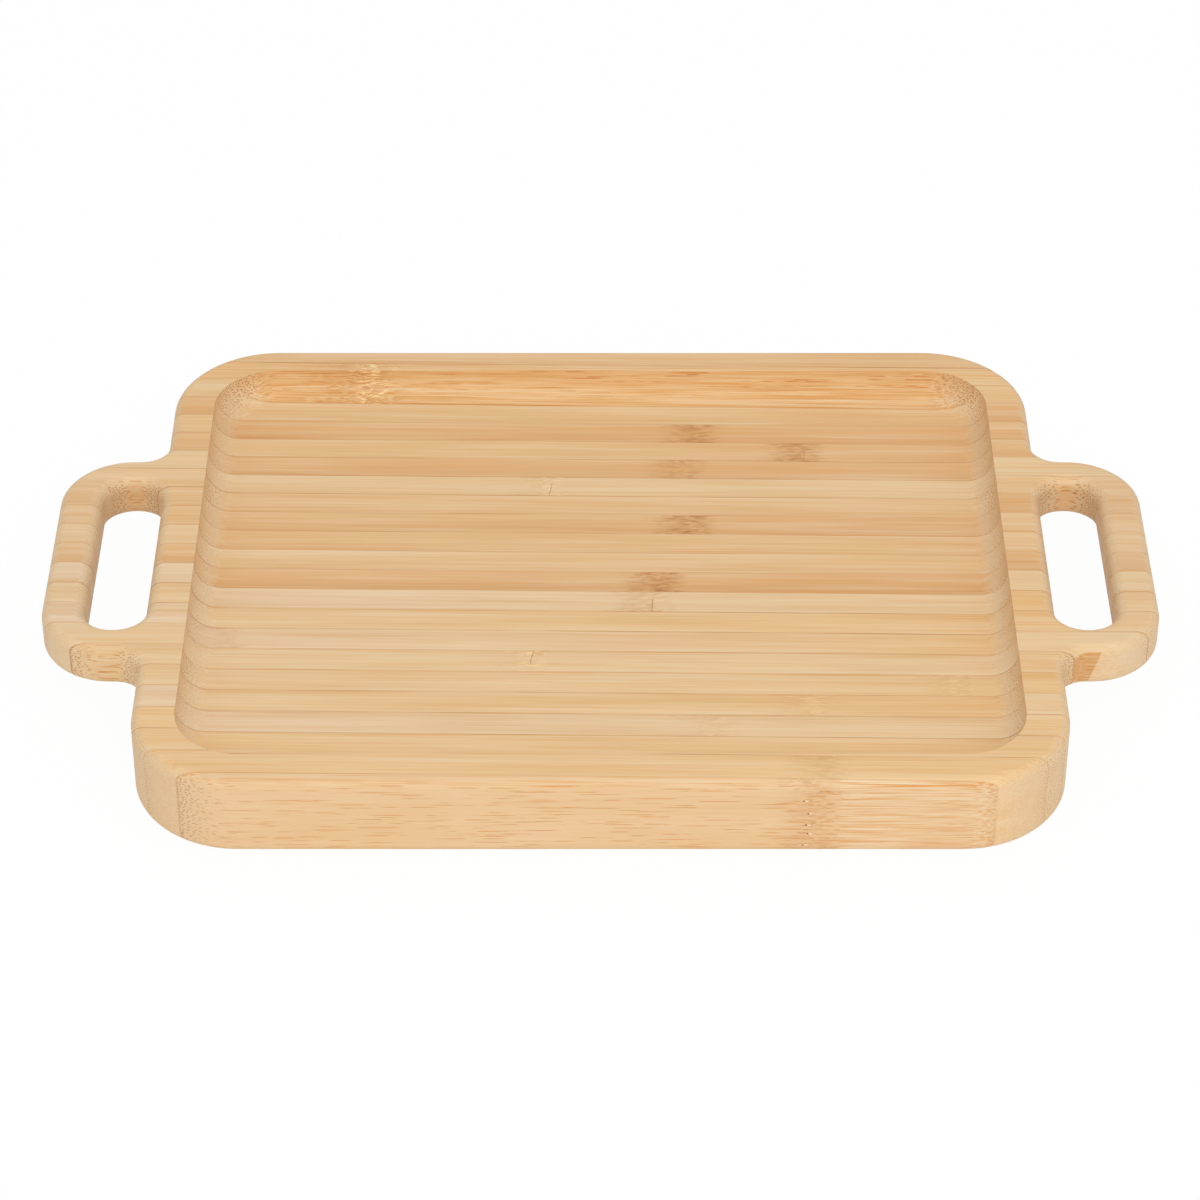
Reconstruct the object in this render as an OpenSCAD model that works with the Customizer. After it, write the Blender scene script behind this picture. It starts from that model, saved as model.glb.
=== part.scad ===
// Serving tray routed from a board of upright bamboo strips glued side by side.
// The strips run across the tray from handle to handle. The two finger slots cut some of them
// through, so the outer bar of each handle is made of short pieces of the same strips.
// The origin is at the middle of the underside, with +X along the length and the front towards -Y.

/* [Body] */
// Length of the body between the two handles
body_length = 203.5; // [160:0.5:320]
// Depth of the body from front to back
body_depth = 164; // [140:1:240]
// Thickness of the board
board_thickness = 20; // [16:0.5:30]
// Plan radius of the body's four corners
corner_radius = 24; // [18:0.5:36]
// Radius of the rounded edge around the top
top_round = 2.5; // [1:0.1:4]
// Radius of the rounded edge around the underside
bottom_round = 2.5; // [0.5:0.1:4]

/* [Pocket] */
// Width of the rim around the pocket
rim_width = 9.5; // [7:0.5:14]
// Depth of the pocket's floor below the rim
pocket_depth = 7; // [4:0.5:11]
// Radius of the cove that joins the pocket's wall to its floor
cove_radius = 6; // [2:0.5:8]

/* [Handles] */
// Width of a handle from front to back
handle_width = 72.5; // [66:0.5:100]
// Thickness of a handle, flush with the rim and clear of the table
handle_thickness = 10.5; // [8:0.5:15]
// Plan radius of a handle's two outer corners
handle_corner = 16; // [8:0.5:20]
// Plan radius of the fillet where a handle meets the body
handle_fillet = 6.2; // [3:0.2:12]
// Radius of the rounded edge around a handle's underside
handle_under_round = 2.5; // [0.5:0.1:4]

/* [Finger slots] */
// Length of a finger slot from front to back
slot_length = 55; // [40:0.5:58]
// Width of a finger slot, whose inner side is in line with the side of the body
slot_width = 13.7; // [10:0.1:20]
// Width of the bar outside a finger slot
grip_width = 9.7; // [8:0.1:14]
// Radius of the rounded edges of a finger slot, above and below
slot_round = 3; // [1:0.1:4]

/* [Strips] */
// Thickness of one bamboo strip, front to back
strip_thickness = 7.36; // [6:0.02:12]
// What is left of the front strip at the middle of the tray
front_strip = 2.24; // [1.8:0.02:8]
// Angle between the strips and the front of the tray
strip_skew = 0.85; // [0:0.05:1.2]

/* [Hidden] */
$fn = 96;

// How far a cutter runs past the surface that it cuts
over = 1;
// The thinnest strip that is worth a piece of its own at the back edge
thinnest_strip = 1;

half_length = body_length / 2;
half_depth = body_depth / 2;
half_handle = handle_width / 2;
handle_end = half_length + slot_width + grip_width;
handle_bottom = board_thickness - handle_thickness;
pocket_floor = board_thickness - pocket_depth;
pocket_corner = corner_radius - rim_width;
slot_end = slot_width / 2;
slot_straight = slot_length - slot_width;
slot_x = half_length + slot_end;
// A length that reaches past the whole tray from its middle
beyond = handle_end + body_depth;

strip_count = 1 + ceil((body_depth - front_strip - thinnest_strip) / strip_thickness);
strips = [1 : strip_count];
sides = ["left", "right"];

// The glue line behind strip i, measured square to the strips from the middle of the tray
function glue_line(i) = front_strip - half_depth + (i - 1) * strip_thickness;
function front_face(i) = i == 1 ? -beyond : glue_line(i - 1);
function back_face(i) = i == strip_count ? beyond : glue_line(i);

// How far a side's finger slot reaches towards end = -1, the front, or 1, the back, square to the strips
function side_sign(side) = side == "left" ? -1 : 1;
function slot_reach(side, end) =
    sin(strip_skew) * side_sign(side) * slot_x
    + cos(strip_skew) * end * slot_straight / 2
    + end * slot_end;
function is_severed(i, side) =
    front_face(i) >= slot_reach(side, -1) && back_face(i) <= slot_reach(side, 1);

function two_digits(i) = str(i < 10 ? "0" : "", i);
function strip_name(i) = str("strip_", two_digits(i));
function grip_name(i, side) = str(side, "_grip_", two_digits(i));

// Strips that came out paler or more honey coloured than the rest
pale_strips = [5, 11, 17];
honey_strips = [12, 15, 18, 20];
function bamboo(i) =
    len(search(i, pale_strips)) > 0 ? "#E6CDA6" :
    len(search(i, honey_strips)) > 0 ? "#DEB27D" : "#E8C191";

// $reach holds the lowest and highest y of the strip being cut. What misses it is left out.
module if_reached(low, high) {
    if ($reach[0] < high && $reach[1] > low) children();
}

module both_sides() {
    children();
    mirror([1, 0, 0]) children();
}

module far_end() {
    low = $reach[0];
    high = $reach[1];
    $reach = [-high, -low];
    mirror([0, 1, 0]) children();
}

module both_ends() {
    children();
    far_end() children();
}

// What a rounding bit takes off an edge at the origin, where the wood lies towards -X and -Y
module round_waste(radius) {
    translate([-radius, -radius]) difference() {
        square(radius + over);
        circle(radius);
    }
}

// A profile swept along a straight edge that faces +X, from y = start to y = stop
module along_side(x, start, stop) {
    if_reached(start, stop)
        translate([x, stop, 0]) rotate([90, 0, 0]) linear_extrude(stop - start) children();
}

// A profile swept along a straight edge that faces +Y, from x = start to x = stop
module along_end(y, start, stop) {
    if_reached(y - corner_radius, y + corner_radius)
        translate([start, y, 0]) rotate([90, 0, 90]) linear_extrude(stop - start) children();
}

// A profile swept a quarter turn about a corner's centre, from the direction given
module around_corner(centre, direction, radius) {
    if_reached(centre.y - corner_radius, centre.y + corner_radius)
        translate(centre) rotate([0, 0, direction]) rotate_extrude(angle = 90)
            translate([radius, 0]) children();
}

// The profile of an outer edge follows the front and back of the body and its four corners
module around_body() {
    both_ends() along_end(half_depth, corner_radius - half_length, half_length - corner_radius)
        children();
    both_sides() both_ends()
        around_corner([half_length - corner_radius, half_depth - corner_radius], 0, corner_radius)
            children();
}

// The profile of an outer edge follows the right handle from fillet to fillet
module around_handle() {
    along_side(handle_end, handle_corner - half_handle, half_handle - handle_corner) children();
    both_ends() {
        around_corner([handle_end - handle_corner, half_handle - handle_corner], 0, handle_corner)
            children();
        along_end(half_handle, half_length + handle_fillet, handle_end - handle_corner) children();
        around_corner([half_length + handle_fillet, half_handle + handle_fillet], 180, handle_fillet)
            mirror([1, 0]) children();
    }
}

// The profile of an inner edge follows the right finger slot
module around_slot() {
    translate([slot_x, 0, 0]) {
        both_sides() along_side(slot_end, -slot_straight / 2, slot_straight / 2)
            mirror([1, 0]) children();
        both_ends() for (direction = [0, 90])
            around_corner([0, slot_straight / 2], direction, slot_end) mirror([1, 0]) children();
    }
}

module rounded_rectangle(size, radius) {
    square([size.x - 2 * radius, size.y], center = true);
    square([size.x, size.y - 2 * radius], center = true);
    for (x = [-1, 1], y = [-1, 1])
        translate([x * (size.x / 2 - radius), y * (size.y / 2 - radius)]) circle(radius);
}

// Plan of the right handle: a tab with round outer corners and a fillet on each side of its root
module handle_plan() {
    intersection() {
        translate([half_length, -beyond]) square(2 * beyond);
        rounded_rectangle([2 * handle_end, handle_width], handle_corner);
    }
    both_ends() translate([half_length, half_handle]) difference() {
        square(handle_fillet);
        translate([handle_fillet, handle_fillet]) circle(handle_fillet);
    }
}

// The right finger slot, through a handle, before its edges are rounded
module slot() {
    translate([slot_x, 0, -over]) linear_extrude(handle_thickness + 2 * over) {
        square([slot_width, slot_straight], center = true);
        both_ends() translate([0, slot_straight / 2]) circle(slot_end);
    }
}

// The right handle before its top edges are rounded
module handle_blank() {
    translate([0, 0, handle_bottom]) difference() {
        linear_extrude(handle_thickness) handle_plan();
        around_handle() mirror([0, 1]) round_waste(handle_under_round);
        around_slot() mirror([0, 1]) round_waste(slot_round);
        if_reached(-slot_length / 2, slot_length / 2) slot();
    }
}

// Half the section of the pocket's cutter: a wall, a cove and the floor
module pocket_section() {
    difference() {
        square([pocket_corner, pocket_depth + over]);
        translate([pocket_corner, 0]) mirror([0, 1]) round_waste(cove_radius);
    }
}

// The pocket: one section swept round a rectangle whose corners share their centres with the body's
module pocket() {
    x = half_length - corner_radius;
    y = half_depth - corner_radius;
    translate([0, 0, pocket_floor]) {
        if_reached(-y, y) translate([-x, -y, 0]) cube([2 * x, 2 * y, pocket_depth + over]);
        both_sides() along_side(x, -y, y) pocket_section();
        both_ends() along_end(y, -x, x) pocket_section();
        both_sides() both_ends() around_corner([x, y], 0, 0) pocket_section();
    }
}

// What the rounding bit takes off the outline on top, along the body, both handles and the slots
module top_edge_waste() {
    translate([0, 0, board_thickness]) {
        around_body() round_waste(top_round);
        both_sides() {
            around_handle() round_waste(top_round);
            around_slot() round_waste(slot_round);
            both_ends() along_side(half_length, half_handle + handle_fillet, half_depth - corner_radius)
                round_waste(top_round);
        }
    }
}

module bottom_edge_waste() {
    around_body() mirror([0, 1]) round_waste(bottom_round);
    both_sides() along_side(half_length, corner_radius - half_depth, half_depth - corner_radius)
        mirror([0, 1]) round_waste(bottom_round);
}

// The board as the router leaves it, as far as the strip being cut reaches
module routed_board() {
    difference() {
        union() {
            linear_extrude(board_thickness)
                rounded_rectangle([body_length, body_depth], corner_radius);
            if_reached(-half_handle - handle_fillet, half_handle + handle_fillet)
                both_sides() handle_blank();
        }
        top_edge_waste();
        bottom_edge_waste();
        pocket();
    }
}

// Strip i of the board, from end to end
module routed_strip(i) {
    slant = sin(strip_skew) * handle_end;
    $reach = [front_face(i) - slant, back_face(i) + slant] / cos(strip_skew);
    intersection() {
        rotate([0, 0, -strip_skew]) translate([-beyond, front_face(i), -over])
            cube([2 * beyond, back_face(i) - front_face(i), board_thickness + 2 * over]);
        routed_board();
    }
}

// Everything outside the middle line of a side's finger slot
module outside_slot(side) {
    mirror([side == "left" ? 1 : 0, 0, 0]) translate([slot_x, -beyond, -over])
        cube([beyond, 2 * beyond, board_thickness + 2 * over]);
}

// One strip from handle to handle, or as much of it as the slots that sever it leave
module strip(i) {
    color(bamboo(i)) difference() {
        routed_strip(i);
        for (side = sides)
            if (is_severed(i, side)) outside_slot(side);
    }
}

// The short piece of a severed strip in the bar of a handle
module grip(i, side) {
    color(bamboo(i)) intersection() {
        routed_strip(i);
        outside_slot(side);
    }
}

for (i = strips)
    strip(i);
for (side = sides, i = strips)
    if (is_severed(i, side))
        grip(i, side);
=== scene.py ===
import math

import bpy
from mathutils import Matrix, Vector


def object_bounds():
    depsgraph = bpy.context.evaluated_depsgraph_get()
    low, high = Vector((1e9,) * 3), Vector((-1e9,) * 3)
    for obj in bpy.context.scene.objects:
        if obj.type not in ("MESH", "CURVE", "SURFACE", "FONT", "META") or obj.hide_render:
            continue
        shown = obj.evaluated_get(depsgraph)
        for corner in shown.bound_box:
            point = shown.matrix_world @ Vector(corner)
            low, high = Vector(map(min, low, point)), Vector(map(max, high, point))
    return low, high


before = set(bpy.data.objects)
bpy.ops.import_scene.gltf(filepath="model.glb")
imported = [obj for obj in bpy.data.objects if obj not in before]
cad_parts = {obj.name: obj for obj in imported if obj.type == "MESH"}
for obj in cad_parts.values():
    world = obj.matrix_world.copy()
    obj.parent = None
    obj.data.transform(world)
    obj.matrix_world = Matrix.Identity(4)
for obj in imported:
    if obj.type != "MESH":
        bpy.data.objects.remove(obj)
cad_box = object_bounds()


# The board
# Upright strips of split bamboo, planed square and glued face to face, run from handle to handle. They lie
# at a slight angle to the tray. Every strip's own faces are read from its solid, in millimetres, and the
# second strip, which is whole, gives the thickness of them all.
MM = 0.001
strip_skew = math.radians(0.85)
strips = sorted(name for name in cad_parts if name.startswith("strip_"))


def across_strips(node):
    """Where a strip starts and stops, in mm from the middle of the tray and square to the glue lines."""
    points = [v.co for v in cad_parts[node].data.vertices]
    places = [(p.y * math.cos(strip_skew) + p.x * math.sin(strip_skew)) / MM for p in points]
    return min(places), max(places)


whole_front, whole_back = across_strips(strips[1])
strip_thickness = whole_back - whole_front


# The grain of the bamboo, which was split, planed, routed and sanded, then lightly oiled
# The wood is pale, with brown bundles of fibre that run the whole strip. They crowd the face that was under
# the stem's skin and thin out inwards. Cut along they show as dashes and streaks, cut across as dots. At a
# knuckle, where the stem had a wall inside, the fibres swirl and the wood is browner.
def linear(colour):
    """An sRGB hex colour as linear RGBA."""
    channels = [int(colour[i:i + 2], 16) / 255 for i in (1, 3, 5)]
    return [c / 12.92 if c <= 0.04045 else ((c + 0.055) / 1.055) ** 2.4 for c in channels] + [1]


def add(tree, kind, inputs, **settings):
    """Adds a node. Inputs are given by name or place, as a value, an output or a node's first output."""
    node = tree.nodes.new(kind)
    for name, value in settings.items():
        setattr(node, name, value)
    sockets = [socket for socket in node.inputs if socket.enabled]
    for key, value in inputs.items():
        socket = sockets[key] if isinstance(key, int) else next(s for s in sockets if s.name == key)
        if isinstance(value, bpy.types.Node):
            value = next(s for s in value.outputs if s.enabled)
        if isinstance(value, bpy.types.NodeSocket):
            tree.links.new(value, socket)
        else:
            socket.default_value = value
    return node


# What differs from strip to strip: the tones of its two ends, its faces and its marks. Size, brown, pale,
# line and pores are those of its knuckle.
grain = bpy.data.node_groups.new("bamboo_grain", "ShaderNodeTree")
for name in ("left", "right"):
    grain.interface.new_socket(name, in_out="INPUT", socket_type="NodeSocketColor")
for name in (
    "inner face", "skin face", "skin depth", "piece", "streaks", "edge streaks", "bundles", "glue",
    "end glue", "stain", "knuckle", "size", "brown", "pale", "line", "pores",
):
    grain.interface.new_socket(name, in_out="INPUT", socket_type="NodeSocketFloat")
grain.interface.new_socket("colour", in_out="OUTPUT", socket_type="NodeSocketColor")
for name in ("roughness", "height"):
    grain.interface.new_socket(name, in_out="OUTPUT", socket_type="NodeSocketFloat")
given = add(grain, "NodeGroupInput", {}).outputs

# The strip's own directions in mm: along the fibres, through the strip from front to back, and up. Skin goes
# from 0 on the inner face to 1 on the skin face. The shift gives every strip a grain of its own.
pattern_shift = (31.0, 0.0, 17.0)
place = add(grain, "ShaderNodeTexCoord", {}).outputs["Object"]
turned = add(grain, "ShaderNodeMapping", {
    "Vector": place, "Rotation": (0, 0, strip_skew), "Scale": (1 / MM,) * 3})
along, across, up = add(grain, "ShaderNodeSeparateXYZ", {0: turned}).outputs
skin = add(grain, "ShaderNodeMapRange", {
    "Value": across, "From Min": given["inner face"], "From Max": given["skin face"]})
inward = add(grain, "ShaderNodeMath", {0: 1.0, 1: skin}, operation="SUBTRACT")
to_edge = add(grain, "ShaderNodeMath", {0: skin, 1: inward}, operation="MINIMUM")
piece_shift = add(grain, "ShaderNodeVectorMath", {
    0: pattern_shift, "Scale": given["piece"]}, operation="SCALE")
own = add(grain, "ShaderNodeVectorMath", {0: turned, 1: piece_shift}, operation="ADD")

# Which way the cut surface faces. Level is 0 where it is upright and 1 where it lies flat. Endwise is 0 where
# the fibres lie in the surface and 1 where they are cut across.
cut_along = 0.1
cut_across = 0.6
normal = add(grain, "ShaderNodeNewGeometry", {}).outputs["Normal"]
facing_x, facing_y, facing_z = add(grain, "ShaderNodeSeparateXYZ", {0: normal}).outputs
level = add(grain, "ShaderNodeMath", {0: facing_z, 1: facing_z}, operation="MULTIPLY")
sideways = add(grain, "ShaderNodeMath", {0: facing_x}, operation="ABSOLUTE")
endwise = add(grain, "ShaderNodeMapRange", {
    "Value": sideways, "From Min": cut_along, "From Max": cut_across}, interpolation_type="SMOOTHSTEP")

# The knuckle darkens slowly on its left and ends sooner on its right, with a ragged outline that reaches a
# little further along the strip's edges. Lengths here are those of a knuckle of size 1.
knuckle_left = 11.0
knuckle_right = 6.0
ragged_length = 4.0
ragged_width = 0.8
ragged_reach = 8.0
edge_zone = 0.3
edge_stretch = 0.9
ragged = add(grain, "ShaderNodeTexNoise", {
    "Vector": add(grain, "ShaderNodeMapping", {
        "Vector": own, "Scale": (1 / ragged_length, 1 / ragged_width, 1 / ragged_width)}),
    "Scale": 1.0, "Detail": 2.0})
ragged_shift = add(grain, "ShaderNodeMapRange", {
    "Value": ragged, "To Min": -ragged_reach / 2, "To Max": ragged_reach / 2})
off_knuckle = add(grain, "ShaderNodeMath", {0: along, 1: given["knuckle"]}, operation="SUBTRACT")
from_knuckle = add(grain, "ShaderNodeMath", {0: off_knuckle, 1: given["size"]}, operation="DIVIDE")
edge_reach = add(grain, "ShaderNodeMapRange", {
    "Value": to_edge, "From Max": edge_zone, "To Min": edge_stretch, "To Max": 1.0})
from_ragged = add(grain, "ShaderNodeMath", {
    0: from_knuckle, 1: edge_reach, 2: ragged_shift}, operation="MULTIPLY_ADD")
left_part = add(grain, "ShaderNodeMapRange", {
    "Value": from_ragged, "From Min": -knuckle_left, "From Max": 0.0}, interpolation_type="SMOOTHSTEP")
right_part = add(grain, "ShaderNodeMapRange", {
    "Value": from_ragged, "From Min": 0.0, "From Max": knuckle_right, "To Min": 1.0, "To Max": 0.0},
    interpolation_type="SMOOTHSTEP")
near_knuckle = add(grain, "ShaderNodeMath", {0: left_part, 1: right_part}, operation="MULTIPLY")

# All fibres swirl a little near the knuckle
swirl_size = 3.0
swirl_reach = 1.2
noise_middle = (0.5, 0.5, 0.5)
swirl = add(grain, "ShaderNodeTexNoise", {"Vector": own, "Scale": 1 / swirl_size, "Detail": 1.0})
swirl_way = add(grain, "ShaderNodeVectorMath", {
    0: swirl.outputs["Color"], 1: noise_middle}, operation="SUBTRACT")
swirl_amount = add(grain, "ShaderNodeMath", {0: near_knuckle, 1: swirl_reach}, operation="MULTIPLY")
swirl_shift = add(grain, "ShaderNodeVectorMath", {0: swirl_way, "Scale": swirl_amount}, operation="SCALE")
fibres = add(grain, "ShaderNodeVectorMath", {0: own, 1: swirl_shift}, operation="ADD")

# Slow blushes of tone, strands and fine fibres, each a noise drawn out along the strip, as length by width.
# Real fibres are finer still: these are as coarse as they need to be to show.
blush_size = (60.0, 3.2)
strand_size = (45.0, 0.9)
fine_size = (50.0, 0.25)
blush, strand, fine = [
    add(grain, "ShaderNodeTexNoise", {
        "Vector": add(grain, "ShaderNodeMapping", {
            "Vector": fibres, "Scale": (1 / length, 1 / width, 1 / width)}),
        "Scale": 1.0, "Detail": 2.0})
    for length, width in (blush_size, strand_size, fine_size)
]

# Streaks are made of strands and fine fibres. On the right of a knuckle with pores the fine ones take over,
# from a ragged line onwards, and this fades out along the strip.
past_ragged = 0.25
past_from = 3.4
past_full = 5.0
past_end = 45.0
usual_fine = 0.68
past_fine = 0.95
past_place = add(grain, "ShaderNodeMath", {
    0: ragged_shift, 1: past_ragged, 2: from_knuckle}, operation="MULTIPLY_ADD")
past_start = add(grain, "ShaderNodeMapRange", {
    "Value": past_place, "From Min": past_from, "From Max": past_full}, interpolation_type="SMOOTHSTEP")
past_fade = add(grain, "ShaderNodeMapRange", {
    "Value": from_knuckle, "From Min": knuckle_right, "From Max": past_end, "To Min": 1.0, "To Max": 0.0})
past_part = add(grain, "ShaderNodeMath", {0: past_fade, 1: past_start}, operation="MULTIPLY")
past_pores = add(grain, "ShaderNodeMath", {0: past_part, 1: given["pores"]}, operation="MULTIPLY")
fine_share = add(grain, "ShaderNodeMapRange", {
    "Value": past_pores, "To Min": usual_fine, "To Max": past_fine})
streak = add(grain, "ShaderNodeMix", {"Factor": fine_share, "A": strand, "B": fine})

# Bundles are round in section, one to a cell of a pattern across the fibres: dots on a cut end. Along the
# fibres each comes and goes in its own places, and shows as dashes. A radius is a share of the gap between
# bundles.
small_gap = 0.5
large_gap = 0.66
bundle_radius = 0.28
bundle_core = 0.6 * bundle_radius
bundle_scatter = 0.85
knuckle_growth = 0.12
knuckle_dashes = 0.6
dash_length = 9.0
dash_spread = 53.0
dash_from = 0.45
dash_full = 0.57
end_dots = 0.85
fibre_along, fibre_across, fibre_up = add(grain, "ShaderNodeSeparateXYZ", {0: fibres}).outputs
section = add(grain, "ShaderNodeCombineXYZ", {0: fibre_across, 1: fibre_up})
bundle_kinds = []
for gap in (small_gap, large_gap):
    cells = add(grain, "ShaderNodeTexVoronoi", {
        "Vector": section, "Scale": 1 / gap, "Randomness": bundle_scatter}, voronoi_dimensions="2D")
    outline = add(grain, "ShaderNodeMapRange", {
        "Value": near_knuckle, "To Min": bundle_radius, "To Max": bundle_radius + knuckle_growth})
    dot = add(grain, "ShaderNodeMapRange", {
        "Value": cells.outputs["Distance"], "From Min": outline, "From Max": bundle_core},
        interpolation_type="SMOOTHSTEP")
    phase = add(grain, "ShaderNodeMath", {0: cells.outputs["Color"], 1: dash_spread}, operation="MULTIPLY")
    dash_place = add(grain, "ShaderNodeMath", {
        0: fibre_along, 1: 1 / dash_length, 2: phase}, operation="MULTIPLY_ADD")
    dashes = add(grain, "ShaderNodeTexNoise", {
        "W": dash_place, "Scale": 1.0, "Detail": 1.0}, noise_dimensions="1D")
    dash = add(grain, "ShaderNodeMapRange", {"Value": dashes, "From Min": dash_from, "From Max": dash_full})
    gathered = add(grain, "ShaderNodeMath", {
        0: near_knuckle, 1: knuckle_dashes, 2: dash}, operation="MULTIPLY_ADD", use_clamp=True)
    drawn = add(grain, "ShaderNodeMix", {"Factor": endwise, "A": gathered, "B": end_dots})
    bundle_kinds.append(add(grain, "ShaderNodeMath", {0: dot, 1: drawn}, operation="MULTIPLY"))
small_bundles, large_bundles = bundle_kinds

# They are small and close towards the skin, larger inside. They show on upright faces and hardly on flat
# ones, leave room for the streaks past a knuckle with pores, and crowd the skin face on a cut end.
large_until = 0.3
small_from = 0.6
upright_until = 0.2
flat_from = 0.9
flat_bundles = 0.1
past_bundles = 0.2
crowd_from = 0.65
crowd_share = 0.7
small_part = add(grain, "ShaderNodeMapRange", {
    "Value": skin, "From Min": large_until, "From Max": small_from})
bundle_found = add(grain, "ShaderNodeMix", {"Factor": small_part, "A": large_bundles, "B": small_bundles})
bundle_cut = add(grain, "ShaderNodeMapRange", {
    "Value": level, "From Min": upright_until, "From Max": flat_from, "To Min": 1.0, "To Max": flat_bundles})
bundle_shown = add(grain, "ShaderNodeMath", {0: bundle_found, 1: bundle_cut}, operation="MULTIPLY")
bundle_past = add(grain, "ShaderNodeMapRange", {"Value": past_pores, "To Min": 1.0, "To Max": past_bundles})
bundle_part = add(grain, "ShaderNodeMath", {0: bundle_shown, 1: bundle_past}, operation="MULTIPLY")
bundle_crowd = add(grain, "ShaderNodeMapRange", {
    "Value": skin, "From Min": crowd_from, "From Max": 1.0, "To Max": crowd_share})
bundle_share = add(grain, "ShaderNodeMath", {
    0: bundle_crowd, 1: endwise, 2: given["bundles"]}, operation="MULTIPLY_ADD")
bundles = add(grain, "ShaderNodeMath", {
    0: bundle_part, 1: bundle_share}, operation="MULTIPLY", use_clamp=True)

# The plain tone goes from that of the left end to that of the right end. The bars of the handles are drier.
tone_reach = 100.0
dry_from = 107.0
dry_full = 116.0
dry_share = 0.28
dry_wood = linear("#DFC7A6")
rightness = add(grain, "ShaderNodeMapRange", {
    "Value": along, "From Min": -tone_reach, "From Max": tone_reach})
tone = add(grain, "ShaderNodeMix", {
    "Factor": rightness, "A": given["left"], "B": given["right"]}, data_type="RGBA")
from_middle = add(grain, "ShaderNodeMath", {0: along}, operation="ABSOLUTE")
dry_amount = add(grain, "ShaderNodeMapRange", {
    "Value": from_middle, "From Min": dry_from, "From Max": dry_full, "To Max": dry_share})
dried = add(grain, "ShaderNodeMix", {"Factor": dry_amount, "A": tone, "B": dry_wood}, data_type="RGBA")

# Blushes are paler and riper stretches. They are weaker on a strip with weak streaks.
blush_depth = 0.26
blush_middle = 0.48
blush_palest = 0.7
blush_ripest = 0.3
pale_wood = linear("#F2DDBA")
ripe_wood = linear("#D6A263")
blush_least = add(grain, "ShaderNodeMath", {0: given["streaks"], 1: 1.0}, operation="MINIMUM")
blush_share = add(grain, "ShaderNodeMath", {0: blush_least, 1: blush_depth}, operation="MULTIPLY")
blush_amount = add(grain, "ShaderNodeMapRange", {
    "Value": blush, "From Min": blush_middle, "From Max": blush_palest, "To Max": blush_share})
blushed = add(grain, "ShaderNodeMix", {
    "Factor": blush_amount, "A": dried, "B": pale_wood}, data_type="RGBA")
ripe_amount = add(grain, "ShaderNodeMapRange", {
    "Value": blush, "From Min": blush_middle, "From Max": blush_ripest, "To Max": blush_share})
ripened = add(grain, "ShaderNodeMix", {
    "Factor": ripe_amount, "A": blushed, "B": ripe_wood}, data_type="RGBA")

# Streaks are orange or pale. They are stronger at the skin face and past a knuckle with pores. Edge streaks
# are more orange ones wherever the face isn't upright.
streak_depth = 0.25
streak_middle = 0.5
streak_darkest = 0.62
streak_palest = 0.37
past_streaks = 2.2
gather_from = 0.78
gather_full = 0.96
gather_share = 1.1
slope_from = 0.04
slope_full = 0.3
orange_fibre = linear("#D8954C")
streak_gather = add(grain, "ShaderNodeMapRange", {
    "Value": skin, "From Min": gather_from, "From Max": gather_full, "To Max": gather_share},
    interpolation_type="SMOOTHSTEP")
streak_past = add(grain, "ShaderNodeMath", {
    0: past_pores, 1: past_streaks, 2: streak_gather}, operation="MULTIPLY_ADD")
streak_all = add(grain, "ShaderNodeMath", {0: streak_past, 1: given["streaks"]}, operation="ADD")
streak_strength = add(grain, "ShaderNodeMath", {0: streak_all, 1: streak_depth}, operation="MULTIPLY")
sloped = add(grain, "ShaderNodeMapRange", {
    "Value": level, "From Min": slope_from, "From Max": slope_full}, interpolation_type="SMOOTHSTEP")
orange_strength = add(grain, "ShaderNodeMath", {
    0: sloped, 1: given["edge streaks"], 2: streak_strength}, operation="MULTIPLY_ADD")
orange_amount = add(grain, "ShaderNodeMapRange", {
    "Value": streak, "From Min": streak_middle, "From Max": streak_darkest, "To Max": orange_strength})
streaked = add(grain, "ShaderNodeMix", {
    "Factor": orange_amount, "A": ripened, "B": orange_fibre}, data_type="RGBA")
pale_amount = add(grain, "ShaderNodeMapRange", {
    "Value": streak, "From Min": streak_middle, "From Max": streak_palest, "To Max": streak_strength})
lightened = add(grain, "ShaderNodeMix", {
    "Factor": pale_amount, "A": streaked, "B": pale_wood}, data_type="RGBA")

# The wood is paler inside and browner towards the skin, with a thin orange band next to the glue line, which
# is stronger in patches
inner_until = 0.35
inner_share = 0.09
skin_from = 0.3
band_from = 0.92
band_share = 0.6
patch_length = 24.0
patch_width = 10.0
patch_height = 50.0
skin_wood = linear("#BE8C5A")
inner_amount = add(grain, "ShaderNodeMapRange", {
    "Value": skin, "From Min": inner_until, "From Max": 0.0, "To Max": inner_share},
    interpolation_type="SMOOTHSTEP")
innered = add(grain, "ShaderNodeMix", {
    "Factor": inner_amount, "A": lightened, "B": pale_wood}, data_type="RGBA")
skin_slow = add(grain, "ShaderNodeMapRange", {
    "Value": skin, "From Min": skin_from, "From Max": 1.0}, interpolation_type="SMOOTHSTEP")
skin_amount = add(grain, "ShaderNodeMath", {0: skin_slow, 1: given["skin depth"]}, operation="MULTIPLY")
skinned = add(grain, "ShaderNodeMix", {"Factor": skin_amount, "A": innered, "B": skin_wood}, data_type="RGBA")
patch = add(grain, "ShaderNodeTexNoise", {
    "Vector": add(grain, "ShaderNodeMapping", {
        "Vector": turned, "Scale": (1 / patch_length, 1 / patch_width, 1 / patch_height)}),
    "Scale": 1.0, "Detail": 2.0})
band = add(grain, "ShaderNodeMapRange", {
    "Value": skin, "From Min": band_from, "From Max": 1.0, "To Max": band_share})
band_amount = add(grain, "ShaderNodeMath", {0: band, 1: patch}, operation="MULTIPLY")
banded = add(grain, "ShaderNodeMix", {
    "Factor": band_amount, "A": skinned, "B": orange_fibre}, data_type="RGBA")

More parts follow.
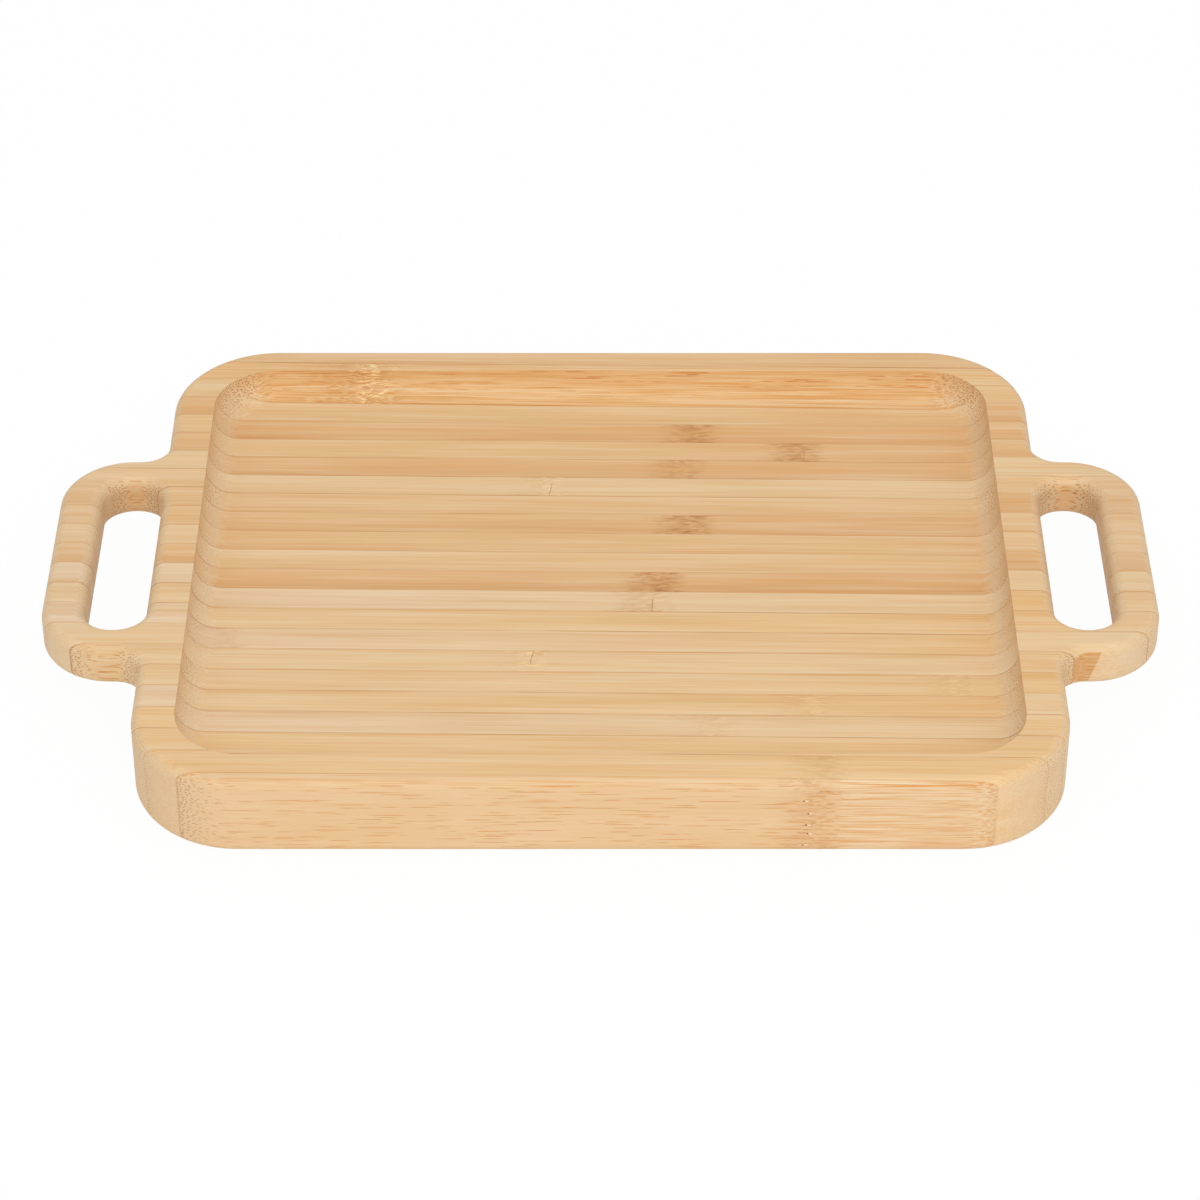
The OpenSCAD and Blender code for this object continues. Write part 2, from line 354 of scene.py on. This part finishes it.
# Cut ends are greyer, with brown dots. Along the fibres the bundles are orange.
end_share = 0.55
end_wood = linear("#DDC19B")
long_bundle = linear("#CF8F4C")
cut_bundle = linear("#B07E4E")
end_amount = add(grain, "ShaderNodeMath", {0: endwise, 1: end_share}, operation="MULTIPLY")
ended = add(grain, "ShaderNodeMix", {"Factor": end_amount, "A": banded, "B": end_wood}, data_type="RGBA")
bundle_colour = add(grain, "ShaderNodeMix", {
    "Factor": endwise, "A": long_bundle, "B": cut_bundle}, data_type="RGBA")
bundled = add(grain, "ShaderNodeMix", {"Factor": bundles, "A": ended, "B": bundle_colour}, data_type="RGBA")

# The glue line is a thin brown seam, stronger in some strips and patches than in others. A cut end has a
# strength of its own. The seam is drawn wider than the real film of glue, so that it shows.
glue_width = 0.22
faint_patch = 0.36
strong_patch = 0.62
faint_glue = 0.12
strong_glue = 0.8
glue_brown = linear("#A4682E")
seam = add(grain, "ShaderNodeMapRange", {
    "Value": to_edge, "From Min": glue_width / strip_thickness, "From Max": 0.0},
    interpolation_type="SMOOTHSTEP")
patch_amount = add(grain, "ShaderNodeMapRange", {
    "Value": patch, "From Min": faint_patch, "From Max": strong_patch,
    "To Min": faint_glue, "To Max": strong_glue})
seam_patch = add(grain, "ShaderNodeMath", {0: seam, 1: patch_amount}, operation="MULTIPLY")
seam_share = add(grain, "ShaderNodeMix", {"Factor": endwise, "A": given["glue"], "B": given["end glue"]})
seam_amount = add(grain, "ShaderNodeMath", {0: seam_patch, 1: seam_share}, operation="MULTIPLY")
seamed = add(grain, "ShaderNodeMix", {"Factor": seam_amount, "A": bundled, "B": glue_brown}, data_type="RGBA")

# The knuckle: an orange wash and brown blotches, darkest at the strip's edges
wash_share = 0.3
blotch_length = 3.0
blotch_width = 0.8
blotch_from = 0.38
blotch_full = 0.64
faint_blotch = 0.08
strong_blotch = 0.75
blotch_edge = 0.25
edge_blotch = 1.15
middle_blotch = 0.75
knuckle_wood = linear("#A2622A")
wash = add(grain, "ShaderNodeMath", {0: near_knuckle, 1: wash_share}, operation="MULTIPLY")
wash_amount = add(grain, "ShaderNodeMath", {
    0: wash, 1: given["brown"]}, operation="MULTIPLY", use_clamp=True)
washed = add(grain, "ShaderNodeMix", {
    "Factor": wash_amount, "A": seamed, "B": orange_fibre}, data_type="RGBA")
blotches = add(grain, "ShaderNodeTexNoise", {
    "Vector": add(grain, "ShaderNodeMapping", {
        "Vector": fibres, "Scale": (1 / blotch_length, 1 / blotch_width, 1 / blotch_width)}),
    "Scale": 1.0, "Detail": 3.0})
blotch = add(grain, "ShaderNodeMapRange", {
    "Value": blotches, "From Min": blotch_from, "From Max": blotch_full,
    "To Min": faint_blotch, "To Max": strong_blotch})
blotch_share = add(grain, "ShaderNodeMapRange", {
    "Value": to_edge, "From Max": blotch_edge, "To Min": edge_blotch, "To Max": middle_blotch})
blotch_near = add(grain, "ShaderNodeMath", {0: blotch, 1: near_knuckle}, operation="MULTIPLY")
blotch_part = add(grain, "ShaderNodeMath", {0: blotch_near, 1: blotch_share}, operation="MULTIPLY")
blotch_amount = add(grain, "ShaderNodeMath", {
    0: blotch_part, 1: given["brown"]}, operation="MULTIPLY", use_clamp=True)
smudged = add(grain, "ShaderNodeMix", {
    "Factor": blotch_amount, "A": washed, "B": knuckle_wood}, data_type="RGBA")

# A thin dark line leans most of the way across the knuckle, with pale flecks on both sides of it
line_width = 0.2
line_lean = 0.08
line_from = 0.3
line_full = 0.45
fleck_length = 2.8
fleck_width = 0.4
fleck_reach = 4.5
fleck_from = 0.5
fleck_full = 0.64
pale_fleck = linear("#FBDAA4")
dark_line = linear("#8C5A2E")
face_sum = add(grain, "ShaderNodeMath", {0: given["inner face"], 1: given["skin face"]}, operation="ADD")
off_middle = add(grain, "ShaderNodeMath", {0: face_sum, 1: -0.5, 2: across}, operation="MULTIPLY_ADD")
line_shift = add(grain, "ShaderNodeMath", {
    0: off_middle, 1: line_lean, 2: swirl}, operation="MULTIPLY_ADD")
from_line = add(grain, "ShaderNodeMath", {0: from_knuckle, 1: line_shift}, operation="SUBTRACT")
off_line = add(grain, "ShaderNodeMath", {0: from_line}, operation="ABSOLUTE")
fleck_near = add(grain, "ShaderNodeMapRange", {
    "Value": off_line, "From Min": fleck_reach, "From Max": 0.0}, interpolation_type="SMOOTHSTEP")
flecks = add(grain, "ShaderNodeTexNoise", {
    "Vector": add(grain, "ShaderNodeMapping", {
        "Vector": fibres, "Scale": (1 / fleck_length, 1 / fleck_width, 1 / fleck_width)}),
    "Scale": 1.0, "Detail": 2.0})
fleck = add(grain, "ShaderNodeMapRange", {"Value": flecks, "From Min": fleck_from, "From Max": fleck_full})
fleck_part = add(grain, "ShaderNodeMath", {0: fleck_near, 1: fleck}, operation="MULTIPLY")
fleck_amount = add(grain, "ShaderNodeMath", {0: fleck_part, 1: given["pale"]}, operation="MULTIPLY")
flecked = add(grain, "ShaderNodeMix", {
    "Factor": fleck_amount, "A": smudged, "B": pale_fleck}, data_type="RGBA")
line = add(grain, "ShaderNodeMapRange", {
    "Value": off_line, "From Min": line_width, "From Max": 0.0}, interpolation_type="SMOOTHSTEP")
line_end = add(grain, "ShaderNodeMapRange", {"Value": skin, "From Min": line_from, "From Max": line_full})
line_drawn = add(grain, "ShaderNodeMath", {0: line, 1: line_end}, operation="MULTIPLY")
line_amount = add(grain, "ShaderNodeMath", {0: line_drawn, 1: given["line"]}, operation="MULTIPLY")
lined = add(grain, "ShaderNodeMix", {"Factor": line_amount, "A": flecked, "B": dark_line}, data_type="RGBA")

# On the flat of an upright face a knuckle can have a column of dark pores on its left, one above the other,
# each with a short pale tail on its right
pore_gap = 3.2
pore_shift = 2.3
pore_scatter = 0.45
pore_size = 0.27
pore_core = 0.4 * pore_size
tail_core = 0.3 * pore_size
tail_length = 1.3
round_from = 0.04
flat_until = 0.02
dark_pore = linear("#5A3B22")
pore_along = add(grain, "ShaderNodeMath", {0: from_knuckle, 1: pore_gap / 2 + pore_shift}, operation="ADD")
pore_up = add(grain, "ShaderNodeMath", {0: across, 1: up}, operation="ADD")
pore_place = add(grain, "ShaderNodeCombineXYZ", {0: pore_along, 1: pore_up})
pore = add(grain, "ShaderNodeTexVoronoi", {
    "Vector": pore_place, "Scale": 1 / pore_gap, "Randomness": pore_scatter}, voronoi_dimensions="2D")
from_pore = add(grain, "ShaderNodeVectorMath", {
    0: pore_place, 1: pore.outputs["Position"]}, operation="SUBTRACT")
right_of_pore, above_pore = add(grain, "ShaderNodeSeparateXYZ", {0: from_pore}).outputs[:2]
off_tail = add(grain, "ShaderNodeMath", {0: above_pore}, operation="ABSOLUTE")
tail_width = add(grain, "ShaderNodeMapRange", {
    "Value": off_tail, "From Min": pore_size, "From Max": tail_core}, interpolation_type="SMOOTHSTEP")
tail_start = add(grain, "ShaderNodeMath", {0: right_of_pore, 1: pore_size}, operation="GREATER_THAN")
tail_end = add(grain, "ShaderNodeMapRange", {
    "Value": right_of_pore, "From Min": tail_length, "From Max": tail_length / 2},
    interpolation_type="SMOOTHSTEP")
tail_part = add(grain, "ShaderNodeMath", {0: tail_width, 1: tail_start}, operation="MULTIPLY")
tail = add(grain, "ShaderNodeMath", {0: tail_part, 1: tail_end}, operation="MULTIPLY")
pore_dot = add(grain, "ShaderNodeMapRange", {
    "Value": pore.outputs["Distance"], "From Min": pore_size / pore_gap, "From Max": pore_core / pore_gap},
    interpolation_type="SMOOTHSTEP")
from_pores = add(grain, "ShaderNodeMath", {0: from_knuckle, 1: pore_shift}, operation="ADD")
off_pores = add(grain, "ShaderNodeMath", {0: from_pores}, operation="ABSOLUTE")
pore_near = add(grain, "ShaderNodeMath", {0: off_pores, 1: pore_gap / 2}, operation="LESS_THAN")
pore_flat = add(grain, "ShaderNodeMapRange", {"Value": level, "From Min": round_from, "From Max": flat_until})
pore_part = add(grain, "ShaderNodeMath", {0: pore_near, 1: pore_flat}, operation="MULTIPLY")
pore_share = add(grain, "ShaderNodeMath", {0: pore_part, 1: given["pores"]}, operation="MULTIPLY")
tail_amount = add(grain, "ShaderNodeMath", {0: tail, 1: pore_share}, operation="MULTIPLY")
tailed = add(grain, "ShaderNodeMix", {"Factor": tail_amount, "A": lined, "B": pale_wood}, data_type="RGBA")
pore_amount = add(grain, "ShaderNodeMath", {0: pore_dot, 1: pore_share}, operation="MULTIPLY")
pored = add(grain, "ShaderNodeMix", {"Factor": pore_amount, "A": tailed, "B": dark_pore}, data_type="RGBA")

# A stain is a patch of orange on the front of the right handle. Its right edge leans, and it ends where the
# rounding starts.
stain_from = 100.0
stain_lean = 0.32
stain_soft = 0.3
faint_fibre = 0.3
strong_fibre = 0.7
faint_stain = 0.35
rounding_front = -0.84
flat_front = -0.9
stain_orange = linear("#D0924C")
stain_edge = add(grain, "ShaderNodeMath", {
    0: up, 1: stain_lean, 2: given["stain"]}, operation="MULTIPLY_ADD")
from_stain = add(grain, "ShaderNodeMath", {0: stain_edge, 1: along}, operation="SUBTRACT")
stain_depth = add(grain, "ShaderNodeMapRange", {
    "Value": fine, "From Min": faint_fibre, "From Max": strong_fibre, "To Min": faint_stain})
stain = add(grain, "ShaderNodeMapRange", {
    "Value": from_stain, "From Max": stain_soft, "To Max": stain_depth})
to_front = add(grain, "ShaderNodeMapRange", {
    "Value": facing_y, "From Min": rounding_front, "From Max": flat_front})
stain_part = add(grain, "ShaderNodeMath", {0: stain, 1: to_front}, operation="MULTIPLY")
on_handle = add(grain, "ShaderNodeMath", {0: along, 1: stain_from}, operation="GREATER_THAN")
stain_amount = add(grain, "ShaderNodeMath", {0: stain_part, 1: on_handle}, operation="MULTIPLY")
stained = add(grain, "ShaderNodeMix", {
    "Factor": stain_amount, "A": pored, "B": stain_orange}, data_type="RGBA")

# Sanded and oiled, the wood has a satin surface. Fine fibres make it rougher and smoother, and the bundles
# lie a little deeper.
smoothest = 0.46
roughest = 0.62
bundle_dent = -0.6
roughness = add(grain, "ShaderNodeMapRange", {"Value": fine, "To Min": smoothest, "To Max": roughest})
dents = add(grain, "ShaderNodeMath", {0: bundles, 1: bundle_dent}, operation="MULTIPLY")
height = add(grain, "ShaderNodeMath", {0: dents, 1: fine}, operation="ADD")
add(grain, "NodeGroupOutput", {"colour": stained, "roughness": roughness, "height": height})


# The strips of this board
# No two strips are alike. Each has its tones, a face that was under the skin, and here and there a knuckle,
# given by its place along the strip in mm and its marks. A strip that a slot cuts through keeps its grain.
front_tone = linear("#E6C193")
plain = linear("#E8BF89")
golden = linear("#EBC18A")
light = linear("#EBC38D")
straw = linear("#E7C18F")
light_honey = linear("#E4B780")
pale = linear("#E8C594")
white_wood = linear("#EAC99A")
grey = linear("#E8C9A3")
honey = linear("#E2B178")
deep_honey = linear("#DEAA70")
amber = linear("#E6BC88")
orange = linear("#E7BA7F")
nowhere = -500.0
usual = {
    "left": plain, "right": plain, "skin depth": 0.07, "streaks": 1.0, "edge streaks": 0.0,
    "bundles": 0.6, "glue": 0.8, "end glue": 0.8, "stain": nowhere,
    "knuckle": nowhere, "size": 1.0, "brown": 0.0, "pale": 0.0, "line": 0.0, "pores": 0.0,
}
strip_looks = {
    1: {"left": front_tone, "right": front_tone, "skin depth": 0.0, "streaks": 0.4, "edge streaks": 0.5,
        "bundles": 0.75, "glue": 0.2, "end glue": 0.25,
        "knuckle": 48.0, "brown": 0.3, "pale": 0.15, "pores": 0.9},
    2: {"right": golden, "bundles": 0.15, "glue": 0.25, "end glue": 0.3,
        "knuckle": 49.0, "brown": 0.3, "pale": 0.1},
    3: {"glue": 1.3},
    4: {"left": light, "right": light, "glue": 1.0},
    5: {"left": grey, "right": pale, "glue": 0.65, "knuckle": 26.0, "brown": 0.15, "pale": 0.4},
    6: {"left": pale, "right": orange, "knuckle": 47.1, "brown": 0.15, "pale": 0.4},
    7: {"left": pale, "bundles": 1.1, "glue": 0.5, "knuckle": 79.7, "brown": 0.2, "pale": 0.55},
    8: {"left": pale, "right": white_wood, "bundles": 0.1, "glue": 0.4, "stain": 105.4,
        "knuckle": -15.5, "brown": 0.1, "pale": 0.9, "line": 0.6},
    9: {"left": grey, "right": orange, "knuckle": -84.0, "brown": 0.2},
    10: {"left": pale, "right": orange, "glue": 0.9},
    11: {"left": grey, "right": pale, "glue": 0.3, "knuckle": 11.5, "brown": 0.35, "pale": 0.8, "line": 0.6},
    12: {"left": honey, "right": deep_honey, "skin depth": 0.22, "glue": 0.2, "knuckle": 14.4, "brown": 1.0},
    13: {"left": straw, "right": amber, "glue": 0.4},
    14: {"left": light_honey, "right": amber, "glue": 0.4},
    15: {"left": light_honey, "right": deep_honey, "skin depth": 0.14, "glue": 0.35,
         "knuckle": 21.4, "brown": 1.15, "pale": 0.35},
    16: {"left": amber, "right": amber, "bundles": 1.4},
    17: {"left": pale, "right": pale, "glue": 0.6, "knuckle": -12.6, "brown": 0.15, "pale": 0.9, "line": 0.5},
    18: {"left": honey, "right": honey, "skin depth": 0.15, "knuckle": 19.5, "brown": 0.6, "pale": 0.15},
    19: {"right": honey, "glue": 0.6, "knuckle": 47.3, "brown": 0.9, "pale": 0.1, "line": 0.3},
    20: {"left": honey, "right": honey, "skin depth": 0.15, "glue": 0.2,
         "knuckle": 22.8, "brown": 0.85, "pale": 0.1},
    21: {"left": pale, "bundles": 1.2, "glue": 0.4},
    22: {"left": orange, "right": orange, "skin depth": 0.0, "streaks": 1.7, "edge streaks": 0.4,
         "bundles": 1.1, "knuckle": -57.0, "size": 1.8, "brown": 0.35, "pale": 1.2},
    23: {"left": amber, "right": amber},
}

# In the front half of the board the skin faces lie at the back, in the other half at the front. Only a sliver
# of the first strip is left. The last one is taken as twice as thick, so that its back shows no glue line.
last_skin_back = 10
oil_gloss = 0.35
bump_strength = 0.35
bump_height = 0.02 * MM
for strip in strips:
    number = int(strip[-2:])
    front, back = across_strips(strip)
    if number == 1:
        front = back - strip_thickness
    if number == len(strips):
        back = front + 2 * strip_thickness
    inner, outer = (front, back) if number <= last_skin_back else (back, front)
    faces = {"inner face": inner, "skin face": outer, "piece": number}
    wood = bpy.data.materials.new(f"bamboo_{number:02d}")
    wood.use_nodes = True
    tree = wood.node_tree
    strip_grain = add(tree, "ShaderNodeGroup", {}, node_tree=grain)
    for name, value in (usual | strip_looks[number] | faces).items():
        strip_grain.inputs[name].default_value = value
    bump = add(tree, "ShaderNodeBump", {
        "Height": strip_grain.outputs["height"], "Strength": bump_strength, "Distance": bump_height})
    shader = tree.nodes["Principled BSDF"]
    shader.inputs["Specular IOR Level"].default_value = oil_gloss
    tree.links.new(strip_grain.outputs["colour"], shader.inputs["Base Color"])
    tree.links.new(strip_grain.outputs["roughness"], shader.inputs["Roughness"])
    tree.links.new(bump.outputs["Normal"], shader.inputs["Normal"])
    for node in (strip, f"left_grip_{number:02d}", f"right_grip_{number:02d}"):
        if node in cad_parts:
            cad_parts[node].material_slots[0].material = wood


# The studio
# A white table and white walls all round, with one large soft lamp in front and above. What the camera sees
# of the table is mostly its own white, so that the tray's shadow stays faint. Sizes here are in metres.
def seen_rays(tree):
    """1 for rays that see a surface, also in a reflection or through glass, and 0 for those that light it."""
    ray = add(tree, "ShaderNodeLightPath", {}).outputs
    seen = add(tree, "ShaderNodeMath", {
        0: ray["Is Camera Ray"], 1: ray["Is Glossy Ray"]}, operation="MAXIMUM")
    return add(tree, "ShaderNodeMath", {0: seen, 1: ray["Is Transmission Ray"]}, operation="MAXIMUM")


scene = bpy.context.scene
table_size = 6.0
table_drop = 0.2 * MM
own_white = 0.96
white = linear("#FFFFFF")
edge = table_size / 2
corners = [(-edge, -edge, 0), (edge, -edge, 0), (edge, edge, 0), (-edge, edge, 0)]
table_mesh = bpy.data.meshes.new("table")
table_mesh.from_pydata(corners, [], [(0, 1, 2, 3)])
table = bpy.data.objects.new("table", table_mesh)
table.location.z = cad_box[0].z - table_drop
scene.collection.objects.link(table)
paper = bpy.data.materials.new("white_paper")
paper.use_nodes = True
tree = paper.node_tree
tree.nodes.clear()
lit = add(tree, "ShaderNodeBsdfDiffuse", {"Color": linear("#FAFAFA")})
shining = add(tree, "ShaderNodeEmission", {"Color": white, "Strength": 1.0})
share = add(tree, "ShaderNodeMath", {0: seen_rays(tree), 1: own_white}, operation="MULTIPLY")
mixed = add(tree, "ShaderNodeMixShader", {0: share, 1: lit, 2: shining})
add(tree, "ShaderNodeOutputMaterial", {"Surface": mixed})
table_mesh.materials.append(paper)

wall_light = 0.75
room = bpy.data.worlds.new("white_room")
scene.world = room
room.use_nodes = True
tree = room.node_tree
strength = add(tree, "ShaderNodeMapRange", {
    "Value": seen_rays(tree), "To Min": wall_light, "To Max": 1.0})
background = tree.nodes["Background"]
background.inputs["Color"].default_value = white
tree.links.new(strength.outputs[0], background.inputs["Strength"])

lamp_size = 1.2
lamp_power = 8
lamp_place = (0.2, -1.1, 1.1)
lamp_data = bpy.data.lights.new("soft_lamp", "AREA")
lamp_data.shape = "DISK"
lamp_data.size = lamp_size
lamp_data.energy = lamp_power
lamp = bpy.data.objects.new("soft_lamp", lamp_data)
lamp.location = lamp_place
lamp.rotation_euler = (-lamp.location).to_track_quat("-Z", "Y").to_euler()
scene.collection.objects.link(lamp)


# The camera
# It looks down on the tray from in front through a long lens, at a point level with the rim and a little in
# front of the middle. The lens and the sensor are in millimetres.
look_down = math.radians(37.5)
distance = 0.916
aim_x = -0.1 * MM
aim_y = -18.5 * MM
aim_z = cad_box[1].z
sensor_width = 36
lens_length = 122.6
camera_data = bpy.data.cameras.new("camera")
camera_data.sensor_fit = "HORIZONTAL"
camera_data.sensor_width = sensor_width
camera_data.lens = lens_length
camera = bpy.data.objects.new("camera", camera_data)
camera.location = (aim_x, aim_y - distance * math.cos(look_down), aim_z + distance * math.sin(look_down))
camera.rotation_euler = (math.pi / 2 - look_down, 0, 0)
scene.collection.objects.link(camera)
scene.camera = camera
scene.view_settings.view_transform = "Standard"
